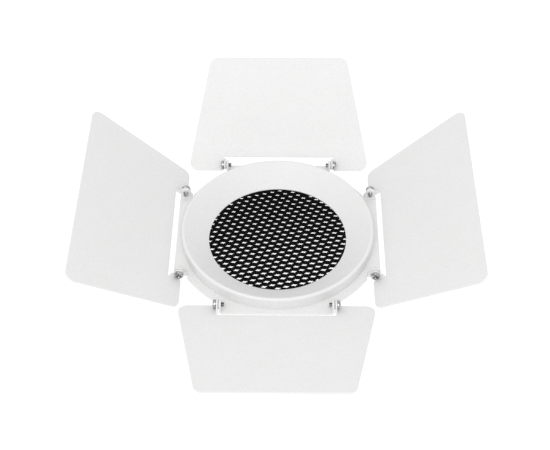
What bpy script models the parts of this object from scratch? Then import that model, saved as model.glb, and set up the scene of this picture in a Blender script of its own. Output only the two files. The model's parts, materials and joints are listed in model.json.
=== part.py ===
"""Four-leaf barn door with a honeycomb louvre, for the front of a round spotlight.

It lies on the rear face of its mounting collar and faces up, so +Z is the way the light leaves.
The origin is the centre of the collar's rear face. All sizes are in metres.

A hinge has its own frame: u along the hinge pin, o outwards from the lamp's axis, z up.
A leaf has the frame u, v, n: v outwards along the sheet from the pin, n off its front face.
"""

import math

import bmesh
import bpy
from mathutils import Matrix, Vector

# Front ring: a conical reflector that ends in a rounded lip and an outer wall
APERTURE_RADIUS = 0.0431
REFLECTOR_RUN = 0.0169
RIM_HEIGHT = 0.0084
LIP_RADIUS = 0.0013
RING_WALL = 0.0014
CONE_WALL = 0.0012
CONE_DROP = 0.0019
LOUVRE_SEAT_WIDTH = 0.0034
LOUVRE_SEAT_THICKNESS = 0.0006

# Sheet-metal pieces
SHEET = 0.0012
BEND_RADIUS = 0.0006
BEND_STEPS = 3
CORNER_RELIEF = 0.0003

# Hinges, measured from the lamp's axis and from the front face of the base plate
HINGE_INSET = 0.0005
HINGE_HEIGHT = 0.0039
BASE_EAR_REACH = 0.0045
BASE_EAR_SIDE_HEIGHT = 0.0022
BASE_EAR_RADIUS = 0.0032
BASE_EAR_HEAD_START = math.radians(130)
BASE_EAR_TO_RIM = 0.0041
PLATE_EDGE_BEYOND_PIN = 0.00375
LEAF_EAR_RADIUS = 0.0027
LEAF_EAR_ROOT_IN = 0.0032
LEAF_EAR_RELIEF = 0.0006

# Leaves
LEAF_REACH = 0.0706
LEAF_SHOULDER = 0.0039
LEAF_TAPER = math.radians(11.65)
LEAF_CORNER = 0.0055
RECESS_CORNER = 0.0003
NARROW_ROOT_BEYOND_PIN = 0.0003
WIDE_ROOT_BEYOND_PIN = -0.0020
RECESS_GAP = 0.0013
SHOULDER_TO_PLATE = 0.0012

# Hinge screws and friction washers
SCREW_RADIUS = 0.00145
SCREW_HEAD_RADIUS = 0.00285
SCREW_HEAD_HEIGHT = 0.0020
SCREW_TIP = 0.0018
SCREW_CLEARANCE = 0.00015
TAPPED_CLEARANCE = 0.0001
RECESS_SLOT_WIDTH = 0.0007
RECESS_SLOT_LENGTH = 0.0028
RECESS_SLOT_DEPTH = 0.0009
RECESS_ROOT_FLARE = 1.3
CROWN_SHARE = 0.7
CROWN_HEIGHT_SHARE = 0.85
CROWN_SIDE_SHARE = 0.35
WASHER_THICKNESS = 0.0003
WASHER_RADIUS = 0.0026
STACK_GAP = 0.00015

# Honeycomb louvre: cells stretched across the ribbons that they are made of
CELL_SIDE = 0.002715
CELL_OPENING = math.radians(73.1)
CELL_WALL = 0.0003
CORE_HEIGHT = 0.0035
CORE_TURN = math.radians(15.8)
CORE_BEYOND_APERTURE = 0.0041
CORE_RIM = 0.0003
FRAME_BAND = 0.0008
FRAME_FOOT = 0.0010
FRAME_LIP = 0.0006
FRAME_LIP_THICKNESS = 0.0006
FRAME_FOOT_THICKNESS = 0.0010
RETAINER_WIRE_RADIUS = 0.0006
RETAINER_GROOVE_DEPTH = 0.0006
RETAINER_OPENING = math.radians(24)

# Mounting collar with three grip springs round it
COLLAR_BEHIND_GROOVE = 0.0013
COLLAR_WALL = 0.0020
COLLAR_FLANGE_THICKNESS = 0.0014
COLLAR_FLANGE_INSET = 0.0005
SPRING_COUNT = 3
SPRING_START = math.radians(50)
SPRING_STEPS = 12
SPRING_WIDTH = 0.0050
SPRING_LENGTH = 0.0180
SPRING_FLAT = 0.0050
SPRING_THICKNESS = 0.0005
SPRING_BULGE = 0.0015
RIVET_RADIUS = 0.0011
RIVET_CLEARANCE = 0.00015
RIVET_HEAD_RADIUS = 0.0021
RIVET_HEAD_HEIGHT = 0.0007

# Assembly screws, through collar and plate into bosses of the ring
BOSS_COUNT = 4
BOSS_START = math.radians(45)
BOSS_RADIUS = 0.0030
BOSS_INTO_WALL = 0.0002
BOSS_BELOW_CONE = 0.0005
BOSS_FLOOR = 0.0010
SCREW_PASS_CLEARANCE = 0.00025

# Clearances between pieces that touch
GAP = 0.0003
SMALL_GAP = 0.0001
LOUVRE_SIDE_CLEARANCE = 0.0004
PLATE_HOLE_CLEARANCE = 0.0005

# Facets of round shapes
RING_STEPS = 64
REAR_STEPS = 48
SCREW_STEPS = 12
ARC_STEPS = 5

# Sides of the lamp: quarter turns from +Y, leaf shape, leaf angle above the plate, and the
# names of the hinges at the -u and +u ends
SIDES = {
    "top": (0, "narrow", 48.1, ("left", "right")),
    "left": (1, "wide", 35.6, ("lower", "upper")),
    "bottom": (2, "narrow", 11.2, ("right", "left")),
    "right": (3, "wide", 36.1, ("upper", "lower")),
}

# Places worked out from the sizes above
RIM_RADIUS = APERTURE_RADIUS + REFLECTOR_RUN
LOUVRE_STACK = LOUVRE_SEAT_THICKNESS + CORE_HEIGHT + FRAME_LIP_THICKNESS + 2 * RETAINER_WIRE_RADIUS + 4 * GAP
COLLAR_LENGTH = COLLAR_BEHIND_GROOVE + LOUVRE_STACK + CONE_DROP - SHEET - GAP
PLATE_BOTTOM = COLLAR_LENGTH + GAP
PLATE_TOP = PLATE_BOTTOM + SHEET
RIM_TOP = PLATE_TOP + RIM_HEIGHT
CONE_BOTTOM = PLATE_TOP - CONE_DROP
SEAT_BOTTOM = CONE_BOTTOM - LOUVRE_SEAT_THICKNESS
RING_INNER = RIM_RADIUS - RING_WALL

PIN_O = RIM_RADIUS - HINGE_INSET
PIN_Z = PLATE_TOP + HINGE_HEIGHT
BASE_EAR_O = PIN_O - BASE_EAR_REACH
BASE_EAR_IN = math.sqrt((RIM_RADIUS + BASE_EAR_TO_RIM) ** 2 - BASE_EAR_O**2)
BASE_EAR_OUT = BASE_EAR_IN + SHEET
WASHER_IN = BASE_EAR_OUT + STACK_GAP
LEAF_EAR_IN = WASHER_IN + WASHER_THICKNESS + STACK_GAP
LEAF_EAR_OUT = LEAF_EAR_IN + SHEET
PLATE_EDGE = PIN_O + PLATE_EDGE_BEYOND_PIN
RECESS_HALF = LEAF_EAR_OUT + BEND_RADIUS
RECESS_EDGE = PLATE_EDGE_BEYOND_PIN + RECESS_GAP
LEAF_EAR_ROOT_OUT = RECESS_EDGE - LEAF_EAR_RELIEF
PLATE_RADIUS = math.hypot(RECESS_HALF, PIN_O - LEAF_SHOULDER) - SHOULDER_TO_PLATE

CORE_RADIUS = APERTURE_RADIUS + CORE_BEYOND_APERTURE
CORE_TOP = SEAT_BOTTOM - GAP
CORE_BOTTOM = CORE_TOP - CORE_HEIGHT
BAND_IN = CORE_RADIUS + GAP
BAND_OUT = BAND_IN + FRAME_BAND
FRAME_OUT = BAND_OUT + FRAME_FOOT
FRAME_BOTTOM = CORE_BOTTOM - GAP - FRAME_LIP_THICKNESS
COLLAR_IN = FRAME_OUT + LOUVRE_SIDE_CLEARANCE
COLLAR_OUT = COLLAR_IN + COLLAR_WALL
WIRE_Z = FRAME_BOTTOM - GAP - RETAINER_WIRE_RADIUS
WIRE_CIRCLE = COLLAR_IN + RETAINER_GROOVE_DEPTH - GAP - RETAINER_WIRE_RADIUS
FLANGE_OUT = RIM_RADIUS - COLLAR_FLANGE_INSET
BOSS_CIRCLE = RING_INNER + BOSS_INTO_WALL - BOSS_RADIUS

WHITE = ("white_powder_coat", (0.86, 0.86, 0.855), 0.5, 0.0)
BLACK = ("black_anodised_foil", (0.012, 0.012, 0.013), 0.55, 0.6)
ZINC = ("zinc_plated_steel", (0.62, 0.62, 0.6), 0.3, 1.0)
SPRING = ("spring_steel", (0.45, 0.46, 0.48), 0.35, 1.0)
NYLON = ("natural_nylon", (0.8, 0.8, 0.77), 0.45, 0.0)

PRISM_ALONG_U = Matrix(((0, 0, 1, 0), (1, 0, 0, 0), (0, 1, 0, 0), (0, 0, 0, 1)))
UPSIDE_DOWN = Matrix.Rotation(math.pi, 4, "X")


def clear_scene():
    for item in list(bpy.data.objects):
        bpy.data.objects.remove(item, do_unlink=True)


def new_collection(name):
    collection = bpy.data.collections.new(name)
    bpy.context.scene.collection.children.link(collection)
    return collection


def material(finish):
    name, colour, roughness, metallic = finish
    found = bpy.data.materials.get(name)
    if found:
        return found
    made = bpy.data.materials.new(name)
    made.use_nodes = True
    shader = made.node_tree.nodes["Principled BSDF"]
    shader.inputs["Base Color"].default_value = (*colour, 1)
    shader.inputs["Roughness"].default_value = roughness
    shader.inputs["Metallic"].default_value = metallic
    return made


def add_part(name, mesh, finish, matrix=None, parent=None):
    """A named piece of the barn door. Its material is its own copy of the finish."""
    piece = bpy.data.objects.new(name, mesh)
    bpy.data.collections["barn_door"].objects.link(piece)
    if not mesh.materials:
        mesh.materials.append(material(finish))
    piece.material_slots[0].link = "OBJECT"
    piece.material_slots[0].material = material(finish).copy()
    piece.material_slots[0].material.name = name + "_finish"
    if parent:
        piece.parent = parent
    elif matrix:
        piece.matrix_world = matrix
    return piece


def add_helper(name, mesh):
    """A shape that only cuts or joins another one."""
    helper = bpy.data.objects.new(name, mesh)
    bpy.data.collections["cutters"].objects.link(helper)
    helper.hide_render = True
    helper.display_type = "WIRE"
    return helper


def combine(piece, helper, operation):
    modifier = piece.modifiers.new(helper.name, "BOOLEAN")
    modifier.operation = operation
    modifier.object = helper
    modifier.solver = "EXACT"


def mesh_from(item):
    """The evaluated mesh of an object, which is then removed."""
    graph = bpy.context.evaluated_depsgraph_get()
    mesh = bpy.data.meshes.new_from_object(item.evaluated_get(graph))
    bpy.data.objects.remove(item, do_unlink=True)
    return mesh


def edited(mesh, matrix=None):
    """Welds the mesh, moves it, puts it on a grid of a tenth of a micron and faces it out."""
    shape = bmesh.new()
    shape.from_mesh(mesh)
    bmesh.ops.remove_doubles(shape, verts=shape.verts, dist=1e-6)
    if matrix:
        shape.transform(matrix)
    for vertex in shape.verts:
        vertex.co = Vector(round(value, 7) for value in vertex.co)
    bmesh.ops.recalc_face_normals(shape, faces=shape.faces)
    shape.to_mesh(mesh)
    shape.free()
    mesh.shade_smooth()
    mesh.set_sharp_from_angle(angle=math.radians(30))
    return mesh


def joined(meshes_and_places):
    """One mesh of several closed shapes, each placed by its matrix."""
    shape = bmesh.new()
    for mesh, matrix in meshes_and_places:
        start = len(shape.verts)
        shape.from_mesh(mesh)
        shape.verts.ensure_lookup_table()
        bmesh.ops.transform(shape, matrix=matrix, verts=shape.verts[start:])
    whole = bpy.data.meshes.new("joined")
    shape.to_mesh(whole)
    shape.free()
    return edited(whole)


def arc(centre, radius, start, end, steps):
    return [
        (
            centre[0] + radius * math.cos(start + (end - start) * i / steps),
            centre[1] + radius * math.sin(start + (end - start) * i / steps),
        )
        for i in range(steps + 1)
    ]


def circle(radius, steps, centre=(0, 0)):
    return arc(centre, radius, 0, math.tau, steps)[:-1]


def rounded(corners):
    """The outline through corners (x, y, radius), each replaced by an arc of its radius."""
    outline = []
    for i, (x, y, radius) in enumerate(corners):
        corner = Vector((x, y))
        if radius == 0:
            outline.append((x, y))
            continue
        back = (Vector(corners[i - 1][:2]) - corner).normalized()
        on = (Vector(corners[(i + 1) % len(corners)][:2]) - corner).normalized()
        half = back.angle(on) / 2
        centre = corner + (back + on).normalized() * radius / math.sin(half)
        first = corner + back * radius / math.tan(half) - centre
        last = corner + on * radius / math.tan(half) - centre
        start = math.atan2(first.y, first.x)
        turn = (math.atan2(last.y, last.x) - start + math.pi) % math.tau - math.pi
        outline += arc(centre, radius, start, start + turn, ARC_STEPS)
    return outline


def prism(outlines, low, high, matrix=None):
    """A flat outline with its holes, extruded from low to high and then placed."""
    curve = bpy.data.curves.new("outline", "CURVE")
    curve.dimensions = "2D"
    curve.fill_mode = "BOTH"
    curve.extrude = (high - low) / 2
    for outline in outlines:
        spline = curve.splines.new("POLY")
        spline.points.add(len(outline) - 1)
        for point, (x, y) in zip(spline.points, outline):
            point.co = (x, y, 0, 1)
        spline.use_cyclic_u = True
    item = bpy.data.objects.new("outline", curve)
    bpy.context.scene.collection.objects.link(item)
    lift = Matrix.Translation((0, 0, (low + high) / 2))
    return edited(mesh_from(item), matrix @ lift if matrix else lift)


def profile_mesh(points, closed):
    mesh = bpy.data.meshes.new("profile")
    edges = [(i, i + 1) for i in range(len(points) - 1)]
    if closed:
        edges.append((len(points) - 1, 0))
    mesh.from_pydata([(r, 0, z) for r, z in points], edges, [])
    return mesh


def turn(piece, steps, on_axis=False):
    """Turns an object's profile about Z. The profile runs down its outer side."""
    screw = piece.modifiers.new("turn", "SCREW")
    screw.steps = steps
    screw.render_steps = steps
    screw.use_merge_vertices = on_axis
    screw.merge_threshold = 0.00001
    screw.use_normal_calculate = False


def turned_mesh(points, steps):
    """A solid turned from an open profile that starts and ends on the axis."""
    item = bpy.data.objects.new("turned", profile_mesh(points, closed=False))
    bpy.context.scene.collection.objects.link(item)
    turn(item, steps, on_axis=True)
    return edited(mesh_from(item))


def boolean_mesh(first, second, operation):
    """The result of one Boolean between two meshes."""
    helper = add_helper("second", second)
    item = add_helper("first", first)
    combine(item, helper, operation)
    result = mesh_from(item)
    bpy.data.objects.remove(helper, do_unlink=True)
    return edited(result)


def cylinder(radius, low, high, x=0, y=0, steps=SCREW_STEPS):
    return prism([circle(radius, steps, (x, y))], low, high)


def around(mesh, count, radius, start=0.0):
    """Copies of a mesh on a circle about Z, as (mesh, matrix) pairs."""
    out = Matrix.Translation((radius, 0, 0))
    return [(mesh, Matrix.Rotation(start + math.tau * i / count, 4, "Z") @ out) for i in range(count)]


def cone_tangent():
    """Where the cone's inside meets the lip's arc, as the arc's angle, and the cone's slope."""
    run = RIM_RADIUS - LIP_RADIUS - APERTURE_RADIUS
    rise = RIM_TOP - LIP_RADIUS - CONE_BOTTOM
    slope = math.atan2(rise, run) + math.asin(LIP_RADIUS / math.hypot(run, rise))
    return slope + math.pi / 2, slope


def cone_under_z(radius):
    """Height of the cone's underside at a radius."""
    slope = cone_tangent()[1]
    rise = (radius - APERTURE_RADIUS) * math.tan(slope)
    return CONE_BOTTOM + rise - CONE_WALL / math.cos(slope)


def cone_under_r(height):
    """Radius of the cone's underside at a height."""
    slope = cone_tangent()[1]
    return APERTURE_RADIUS + (height - CONE_BOTTOM + CONE_WALL / math.cos(slope)) / math.tan(slope)


def make_front_ring():
    lip_angle, slope = cone_tangent()
    lip_centre = (RIM_RADIUS - LIP_RADIUS, RIM_TOP - LIP_RADIUS)
    seat_out = APERTURE_RADIUS + LOUVRE_SEAT_WIDTH
    wall_foot = PLATE_TOP + GAP
    profile = [
        *arc(lip_centre, LIP_RADIUS, lip_angle, 0, ARC_STEPS),
        (RIM_RADIUS, wall_foot),
        (RING_INNER, wall_foot),
        (RING_INNER, cone_under_z(RING_INNER)),
        (seat_out, cone_under_z(seat_out)),
        (seat_out, SEAT_BOTTOM),
        (APERTURE_RADIUS, SEAT_BOTTOM),
        (APERTURE_RADIUS, CONE_BOTTOM),
    ]
    ring = add_part("front_ring", profile_mesh(profile, closed=True), WHITE)
    turn(ring, RING_STEPS)
    cone_top = cone_under_z(BOSS_CIRCLE - BOSS_RADIUS) + CONE_WALL / math.cos(slope)
    boss_top = cone_top - BOSS_BELOW_CONE
    boss = cylinder(BOSS_RADIUS, wall_foot, boss_top)
    hole = cylinder(SCREW_RADIUS + TAPPED_CLEARANCE, wall_foot - GAP, boss_top - BOSS_FLOOR)
    bosses = joined(around(boss, BOSS_COUNT, BOSS_CIRCLE, BOSS_START))
    holes = joined(around(hole, BOSS_COUNT, BOSS_CIRCLE, BOSS_START))
    combine(ring, add_helper("ring_bosses", bosses), "UNION")
    combine(ring, add_helper("ring_tapped_holes", holes), "DIFFERENCE")
    return boss_top - BOSS_FLOOR - GAP


def fold_radius():
    """Radius of the middle of the sheet around a bend."""
    return BEND_RADIUS + SHEET / 2


def folded_length(height):
    """Length of sheet from the start of a fold to a height above the flat sheet's front face."""
    return fold_radius() * math.pi / 2 + height - BEND_RADIUS


def fold_up(mesh, to_ear, low, high, length, front):
    """Folds an ear of a flat blank up by a right angle.

    In the ear's frame, which the matrix to_ear leads to, the ear leaves the blank at x = 0 and
    ends before x = length, between y = low and y = high, and the sheet's front is at z = front.
    """
    near = 1e-6
    radius = fold_radius()
    shape = bmesh.new()
    shape.from_mesh(mesh)
    shape.transform(to_ear)

    def in_ear(vertex):
        return near < vertex.co.x < length and low - near < vertex.co.y < high + near

    for step in range(BEND_STEPS + 1):
        faces = [face for face in shape.faces if any(in_ear(vertex) for vertex in face.verts)]
        edges = {edge for face in faces for edge in face.edges}
        verts = {vertex for face in faces for vertex in face.verts}
        place = radius * math.pi / 2 * step / BEND_STEPS
        bmesh.ops.bisect_plane(
            shape,
            geom=[*faces, *edges, *verts],
            dist=near,
            plane_co=(place, 0, 0),
            plane_no=(1, 0, 0),
        )
    for vertex in shape.verts:
        if not in_ear(vertex):
            continue
        angle = min(vertex.co.x / radius, math.pi / 2)
        straight = vertex.co.x - radius * angle
        arm = radius - (vertex.co.z - front + SHEET / 2)
        vertex.co.x = arm * math.sin(angle)
        vertex.co.z = front + BEND_RADIUS - arm * math.cos(angle) + straight
    shape.transform(to_ear.inverted())
    shape.to_mesh(mesh)
    shape.free()
    return edited(mesh)


def base_ear_outline():
    """The flat outline of the +Y side's ear at its +u end, from its inner to its outer side."""
    root = BASE_EAR_IN - BEND_RADIUS
    head = arc((PIN_O, HINGE_HEIGHT), BASE_EAR_RADIUS, BASE_EAR_HEAD_START, 0, 2 * ARC_STEPS)
    side = [(BASE_EAR_O, BASE_EAR_SIDE_HEIGHT), *head]
    raised = [(root + folded_length(height), o) for o, height in side]
    return [(root, BASE_EAR_O), *raised, (root, PLATE_EDGE)]


def plate_outline():
    """Corner arcs about the lamp's axis, joined by a tab with two flat ears on each side."""
    relief_o = BASE_EAR_O - CORNER_RELIEF
    relief_u = math.sqrt(PLATE_RADIUS**2 - relief_o**2)
    root = BASE_EAR_IN - BEND_RADIUS
    half = [(relief_u, relief_o), (root, relief_o), *base_ear_outline()]
    start = math.atan2(relief_o, -relief_u)
    end = math.atan2(relief_u, -relief_o)
    corner = arc((0, 0), PLATE_RADIUS, start, end, 2 * ARC_STEPS)[1:-1]
    side = [*half, *[(-u, o) for u, o in reversed(half)], *corner]
    outline = []
    for i in range(4):
        place = Matrix.Rotation(math.pi / 2 * i, 2)
        outline += [tuple(place @ Vector(point)) for point in side]
    return outline


def make_base_plate():
    opening = circle(cone_under_r(PLATE_TOP) + PLATE_HOLE_CLEARANCE, RING_STEPS)
    holes = []
    for i in range(BOSS_COUNT):
        angle = BOSS_START + math.tau * i / BOSS_COUNT
        centre = (BOSS_CIRCLE * math.cos(angle), BOSS_CIRCLE * math.sin(angle))
        holes.append(circle(SCREW_RADIUS + SCREW_PASS_CLEARANCE, SCREW_STEPS, centre))
    root = BASE_EAR_IN - BEND_RADIUS
    ears = []
    for i in range(4):
        for mirror in (Matrix.Identity(2), Matrix.Diagonal((-1, 1))):
            place = Matrix.Rotation(math.pi / 2 * i, 2) @ mirror
            pin = place @ Vector((root + folded_length(HINGE_HEIGHT), PIN_O))
            holes.append(circle(SCREW_RADIUS + TAPPED_CLEARANCE, SCREW_STEPS, pin))
            ears.append(Matrix.Translation((-root, 0, 0)) @ place.to_4x4().inverted())
    sheet = prism([plate_outline(), opening, *holes], PLATE_BOTTOM, PLATE_TOP)
    length = folded_length(HINGE_HEIGHT + BASE_EAR_RADIUS) + GAP
    for to_ear in ears:
        sheet = fold_up(sheet, to_ear, BASE_EAR_O, PLATE_EDGE, length, PLATE_TOP)
    add_part("base_plate", sheet, WHITE)


def make_mounting_collar():
    groove = RETAINER_WIRE_RADIUS + GAP
    groove_out = COLLAR_IN + RETAINER_GROOVE_DEPTH
    profile = [
        (FLANGE_OUT, COLLAR_LENGTH),
        (FLANGE_OUT, COLLAR_LENGTH - COLLAR_FLANGE_THICKNESS),
        (COLLAR_OUT, COLLAR_LENGTH - COLLAR_FLANGE_THICKNESS),
        (COLLAR_OUT, 0),
        (COLLAR_IN, 0),
        (COLLAR_IN, WIRE_Z - groove),
        (groove_out, WIRE_Z - groove),
        (groove_out, WIRE_Z + groove),
        (COLLAR_IN, WIRE_Z + groove),
        (COLLAR_IN, COLLAR_LENGTH),
    ]
    collar = add_part("mounting_collar", profile_mesh(profile, closed=True), WHITE)
    turn(collar, REAR_STEPS)
    low, high = COLLAR_LENGTH - 2 * COLLAR_FLANGE_THICKNESS, COLLAR_LENGTH + GAP
    hole = cylinder(SCREW_RADIUS + SCREW_PASS_CLEARANCE, low, high)
    holes = joined(around(hole, BOSS_COUNT, BOSS_CIRCLE, BOSS_START))
    combine(collar, add_helper("flange_holes", holes), "DIFFERENCE")
    radial = prism(
        [circle(RIVET_RADIUS + RIVET_CLEARANCE, SCREW_STEPS, (0, rivet_z()))],
        COLLAR_IN - COLLAR_WALL,
        COLLAR_OUT + COLLAR_WALL,
        PRISM_ALONG_U,
    )
    rivet_holes = joined(around(radial, SPRING_COUNT, 0, SPRING_START + rivet_turn()))
    combine(collar, add_helper("rivet_holes", rivet_holes), "DIFFERENCE")


def hexagon(inset):
    """A cell about its centre, its walls moved in by inset. Two walls run along Y."""
    half_width = CELL_SIDE * math.sin(CELL_OPENING) - inset
    tip = CELL_SIDE / 2 + CELL_SIDE * math.cos(CELL_OPENING) - inset / math.sin(CELL_OPENING)
    side = tip - half_width / math.tan(CELL_OPENING)
    right = [(half_width, -side), (half_width, side), (0, tip)]
    return [*right, *[(-x, -y) for x, y in right]]


def cell_centres():
    """Centres of the cells whose whole outline lies inside the core."""
    across = 2 * CELL_SIDE * math.sin(CELL_OPENING)
    row = CELL_SIDE * (1 + math.cos(CELL_OPENING))
    cell_reach = CELL_SIDE / 2 + CELL_SIDE * math.cos(CELL_OPENING)
    count = math.ceil(CORE_RADIUS / min(across, row))
    centres = []
    for j in range(-count, count + 1):
        for i in range(-count, count + 1):
            centre = ((i + (j % 2) / 2) * across, j * row)
            if math.hypot(*centre) + cell_reach < CORE_RADIUS - CORE_RIM:
                centres.append(centre)
    return centres


def make_honeycomb_core():
    """A disc cut by its cells."""
    cell = prism([hexagon(CELL_WALL / 2)], CORE_BOTTOM - GAP, CORE_TOP + GAP)
    cells = joined([(cell, Matrix.Translation((*centre, 0))) for centre in cell_centres()])
    disc = prism([circle(CORE_RADIUS, REAR_STEPS)], CORE_BOTTOM, CORE_TOP)
    core = boolean_mesh(disc, cells, "DIFFERENCE")
    add_part("honeycomb_core", core, BLACK, Matrix.Rotation(CORE_TURN, 4, "Z"))


def make_honeycomb_frame():
    lip_top = FRAME_BOTTOM + FRAME_LIP_THICKNESS
    foot_top = FRAME_BOTTOM + FRAME_FOOT_THICKNESS
    profile = [
        (BAND_OUT, CORE_TOP),
        (BAND_OUT, foot_top),
        (FRAME_OUT, foot_top),
        (FRAME_OUT, FRAME_BOTTOM),
        (BAND_IN - FRAME_LIP, FRAME_BOTTOM),
        (BAND_IN - FRAME_LIP, lip_top),
        (BAND_IN, lip_top),
        (BAND_IN, CORE_TOP),
    ]
    frame = add_part("honeycomb_frame", profile_mesh(profile, closed=True), BLACK)
    turn(frame, REAR_STEPS)


def make_retaining_ring():
    """A split ring of round wire that sits in the collar's groove behind the louvre."""
    curve = bpy.data.curves.new("retaining_ring", "CURVE")
    curve.dimensions = "3D"
    curve.bevel_depth = RETAINER_WIRE_RADIUS
    curve.bevel_resolution = 1
    curve.use_fill_caps = True
    half_opening = RETAINER_OPENING / 2
    path = arc((0, 0), WIRE_CIRCLE, half_opening, math.tau - half_opening, REAR_STEPS - 4)
    spline = curve.splines.new("POLY")
    spline.points.add(len(path) - 1)
    for point, (x, y) in zip(spline.points, path):
        point.co = (x, y, WIRE_Z, 1)
    item = bpy.data.objects.new("wire", curve)
    bpy.context.scene.collection.objects.link(item)
    add_part("retaining_ring", edited(mesh_from(item)), SPRING)


def spring_top():
    return COLLAR_LENGTH - COLLAR_FLANGE_THICKNESS - GAP


def spring_radius():
    """Radius of the middle of a spring's sheet where it lies along the collar."""
    return COLLAR_OUT + GAP + SPRING_THICKNESS / 2


def rivet_z():
    return spring_top() - SPRING_WIDTH / 2


def rivet_turn():
    """Angle from a spring's fixed end to its rivet."""
    return SPRING_FLAT / 2 / spring_radius()


def make_grip_springs():
    """Three strips round the collar, riveted at one end, which bow out to grip the lamp's front."""
    sweep = SPRING_LENGTH / spring_radius()
    flat = SPRING_FLAT / spring_radius()
    line = [(0, spring_radius())]
    for i in range(SPRING_STEPS + 1):
        share = i / SPRING_STEPS
        bow = SPRING_BULGE * (1 - math.cos(math.tau * share)) / 2
        line.append((flat + (sweep - flat) * share, spring_radius() + bow))
    shape = bmesh.new()
    heights = (spring_top() - SPRING_WIDTH, spring_top())
    pairs = []
    for angle, radius in line:
        x, y = radius * math.cos(angle), radius * math.sin(angle)
        pairs.append([shape.verts.new((x, y, z)) for z in heights])
    for (a, b), (c, d) in zip(pairs, pairs[1:]):
        shape.faces.new((a, c, d, b))
    strip = bpy.data.meshes.new("grip_spring")
    shape.to_mesh(strip)
    shape.free()
    reach = SPRING_THICKNESS * 3
    hole_circle = circle(RIVET_RADIUS + RIVET_CLEARANCE, SCREW_STEPS, (0, rivet_z()))
    hole = prism([hole_circle], spring_radius() - reach, spring_radius() + reach, PRISM_ALONG_U)
    rivet = rivet_mesh()
    tail_end = Matrix.Translation((COLLAR_IN + SMALL_GAP, 0, rivet_z()))
    outwards = Matrix.Rotation(math.pi / 2, 4, "Y")
    for i in range(SPRING_COUNT):
        place = Matrix.Rotation(SPRING_START + math.tau * i / SPRING_COUNT, 4, "Z")
        at_rivet = place @ Matrix.Rotation(rivet_turn(), 4, "Z")
        spring = add_part(f"grip_spring_{i + 1}", strip.copy(), SPRING, place)
        solidify = spring.modifiers.new("thickness", "SOLIDIFY")
        solidify.thickness = SPRING_THICKNESS
        solidify.offset = 0
        combine(spring, add_helper(f"spring_hole_{i + 1}", joined([(hole, at_rivet)])), "DIFFERENCE")
        add_part(f"spring_rivet_{i + 1}", rivet, ZINC, at_rivet @ tail_end @ outwards)


def rivet_mesh():
    """A rivet along Z, flush with the collar's bore at z = 0."""
    head = spring_radius() + SPRING_THICKNESS / 2 - COLLAR_IN
    return turned_mesh(
        [
            (0, head + RIVET_HEAD_HEIGHT),
            (RIVET_HEAD_RADIUS * CROWN_SHARE, head + RIVET_HEAD_HEIGHT * CROWN_HEIGHT_SHARE),
            (RIVET_HEAD_RADIUS, head + RIVET_HEAD_HEIGHT * CROWN_SIDE_SHARE),
            (RIVET_HEAD_RADIUS, head),
            (RIVET_RADIUS, head),
            (RIVET_RADIUS, 0),
            (0, 0),
        ],
        SCREW_STEPS,
    )


def screw_mesh(length):
    """A cross-recess pan-head screw along Z: z = 0 is the underside of its head."""
    body = turned_mesh(
        [
            (0, SCREW_HEAD_HEIGHT),
            (SCREW_HEAD_RADIUS * CROWN_SHARE, SCREW_HEAD_HEIGHT * CROWN_HEIGHT_SHARE),
            (SCREW_HEAD_RADIUS, SCREW_HEAD_HEIGHT * CROWN_SIDE_SHARE),
            (SCREW_HEAD_RADIUS, 0),
            (SCREW_RADIUS, 0),
            (SCREW_RADIUS, -length),
            (0, -length),
        ],
        SCREW_STEPS,
    )
    arm = (RECESS_SLOT_LENGTH / 2, RECESS_SLOT_WIDTH / 2)
    root = RECESS_SLOT_WIDTH / 2 * RECESS_ROOT_FLARE
    cross = []
    for x, y in ((1, 0), (0, 1), (-1, 0), (0, -1)):
        cross += [(x * arm[0] + y * arm[1], y * arm[0] - x * arm[1])]
        cross += [(x * arm[0] - y * arm[1], y * arm[0] + x * arm[1])]
        cross += [((x - y) * root, (x + y) * root)]
    low, high = SCREW_HEAD_HEIGHT - RECESS_SLOT_DEPTH, SCREW_HEAD_HEIGHT + RECESS_SLOT_DEPTH
    return boolean_mesh(body, prism([cross], low, high), "DIFFERENCE")


def leaf_outline(kind):
    """The flat outline of a leaf: a tapered sheet whose root has a recess between two flat ears."""
    change = (LEAF_REACH + LEAF_SHOULDER) * math.tan(LEAF_TAPER)
    root = PIN_O + (NARROW_ROOT_BEYOND_PIN if kind == "narrow" else WIDE_ROOT_BEYOND_PIN)
    tip = root - change if kind == "narrow" else root + change
    head = arc((0, HINGE_HEIGHT), LEAF_EAR_RADIUS, 0, math.pi, 2 * ARC_STEPS)
    half = [
        (RECESS_HALF, RECESS_EDGE, RECESS_CORNER),
        (RECESS_HALF, LEAF_EAR_ROOT_OUT, 0),
        *[(RECESS_HALF - folded_length(height), v, 0) for v, height in head],
        (RECESS_HALF, -LEAF_EAR_ROOT_IN, 0),
        (RECESS_HALF, -LEAF_SHOULDER, RECESS_CORNER),
        (root, -LEAF_SHOULDER, LEAF_CORNER),
        (tip, LEAF_REACH, LEAF_CORNER),
    ]
    return rounded([*half, *[(-u, v, radius) for u, v, radius in reversed(half)]])


def leaf_mesh(kind):
    """A leaf in its own frame, with the hinge pin along u through its origin."""
    front = -HINGE_HEIGHT
    pin = RECESS_HALF - folded_length(HINGE_HEIGHT)
    holes = [circle(SCREW_RADIUS + SCREW_CLEARANCE, SCREW_STEPS, (side * pin, 0)) for side in (1, -1)]
    sheet = prism([leaf_outline(kind), *holes], front - SHEET, front)
    length = folded_length(HINGE_HEIGHT + LEAF_EAR_RADIUS) + GAP
    for side in (1, -1):
        to_ear = Matrix.Translation((RECESS_HALF, 0, 0)) @ Matrix.Diagonal((-side, 1, 1, 1))
        sheet = fold_up(sheet, to_ear, -LEAF_EAR_ROOT_IN, LEAF_EAR_ROOT_OUT, length, front)
    return sheet


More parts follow.
